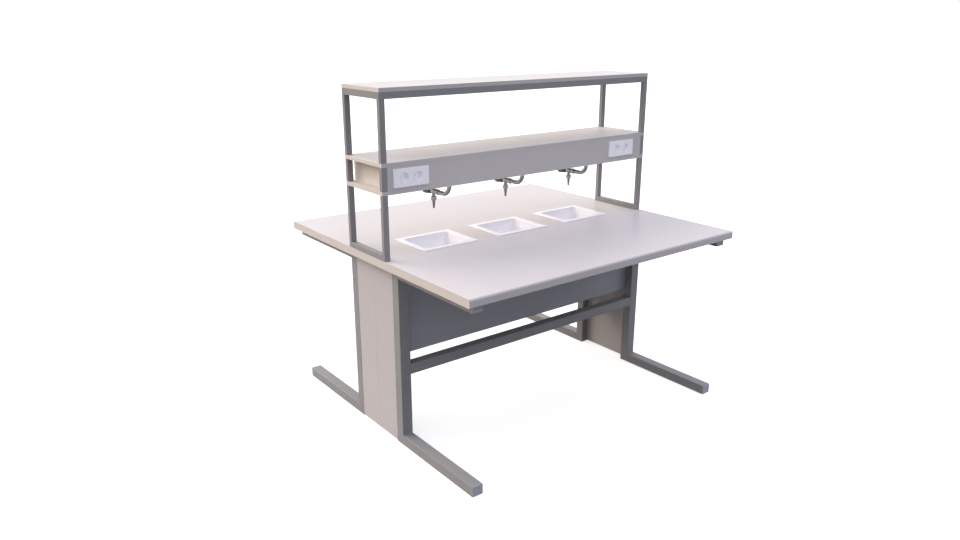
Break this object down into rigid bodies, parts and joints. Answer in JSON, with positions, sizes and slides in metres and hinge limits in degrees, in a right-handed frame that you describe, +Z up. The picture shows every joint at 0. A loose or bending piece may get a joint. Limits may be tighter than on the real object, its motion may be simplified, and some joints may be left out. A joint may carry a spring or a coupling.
{
  "type": "laboratory bench with reagent shelf",
  "caption": "Double-sided laboratory bench on steel C-frames, with a reagent shelf whose service duct carries socket outlets and water taps over moulded cup sinks.",
  "frame": {"origin": "on the floor under the middle of the worktop", "axes": "+X along the bench to the right as seen from the front, +Y from the front to the back, +Z up"},
  "size_m": [1.672, 1.558, 1.65],
  "materials": {
    "worktop_laminate": "satin laminate on board",
    "shelf_laminate": "satin melamine on board",
    "panel_laminate": "matt melamine on board",
    "cladding_laminate": "matt melamine on board",
    "frame_paint": "satin powder coat",
    "cap_plastic": "matt",
    "sink_polypropylene": "satin moulding",
    "waste_polypropylene": "matt",
    "socket_plastic": "satin moulding",
    "box_plastic": "matt",
    "tap_chrome": "polished",
    "feed_pipe": "drawn",
    "handle_plastic": "satin moulding"
  },
  "bodies": {
    "bench": {"worktop": "worktop_laminate", "cup_sink_1": "sink_polypropylene", "cup_sink_2": "sink_polypropylene", "cup_sink_3": "sink_polypropylene", "waste_pipe": "waste_polypropylene", "c_frame_front_left": "frame_paint", "c_frame_front_right": "frame_paint", "c_frame_back_left": "frame_paint", "c_frame_back_right": "frame_paint", "foot_cap_front_left": "cap_plastic", "foot_cap_front_right": "cap_plastic", "foot_cap_back_left": "cap_plastic", "foot_cap_back_right": "cap_plastic", "arm_cap_front_left": "cap_plastic", "arm_cap_front_right": "cap_plastic", "arm_cap_back_left": "cap_plastic", "arm_cap_back_right": "cap_plastic", "stretcher_front": "frame_paint", "stretcher_back": "frame_paint", "modesty_panel_front": "panel_laminate", "modesty_panel_back": "panel_laminate", "end_cladding_front_left": "cladding_laminate", "end_cladding_front_right": "cladding_laminate", "end_cladding_back_left": "cladding_laminate", "end_cladding_back_right": "cladding_laminate", "shelf_base_frame_left": "frame_paint", "shelf_base_frame_right": "frame_paint", "duct_post_front_left": "frame_paint", "duct_post_front_right": "frame_paint", "duct_post_back_left": "frame_paint", "duct_post_back_right": "frame_paint", "duct_end_panel_left": "shelf_laminate", "duct_end_panel_right": "shelf_laminate", "duct_lower_board": "shelf_laminate", "duct_upper_board": "shelf_laminate", "duct_fascia_front": "shelf_laminate", "duct_fascia_back": "shelf_laminate", "shelf_upper_frame": "frame_paint", "shelf_top_board": "shelf_laminate", "socket_plate_left": "socket_plastic", "socket_insert_left": "socket_plastic", "socket_box_left": "box_plastic", "socket_plate_right": "socket_plastic", "socket_insert_right": "socket_plastic", "socket_box_right": "box_plastic", "tap_neck_1": "tap_chrome", "tap_body_1": "tap_chrome", "tap_nozzle_1": "tap_chrome", "tap_neck_2": "tap_chrome", "tap_body_2": "tap_chrome", "tap_nozzle_2": "tap_chrome", "tap_neck_3": "tap_chrome", "tap_body_3": "tap_chrome", "tap_nozzle_3": "tap_chrome", "water_feed_pipe": "feed_pipe"},
    "handle_1": {"tap_handle_1": "handle_plastic"},
    "handle_2": {"tap_handle_2": "handle_plastic"},
    "handle_3": {"tap_handle_3": "handle_plastic"}
  },
  "joints": [
    {"name": "tap_turn_1", "type": "hinge", "parent": "bench", "child": "handle_1", "pos_m": [-0.447, 0.05, 1.14], "axis": [0, 1, 0], "range_deg": [0, 90]},
    {"name": "tap_turn_2", "type": "hinge", "parent": "bench", "child": "handle_2", "pos_m": [0, 0.05, 1.14], "axis": [0, 1, 0], "range_deg": [0, 90]},
    {"name": "tap_turn_3", "type": "hinge", "parent": "bench", "child": "handle_3", "pos_m": [0.447, 0.05, 1.14], "axis": [0, 1, 0], "range_deg": [0, 90]}
  ]
}
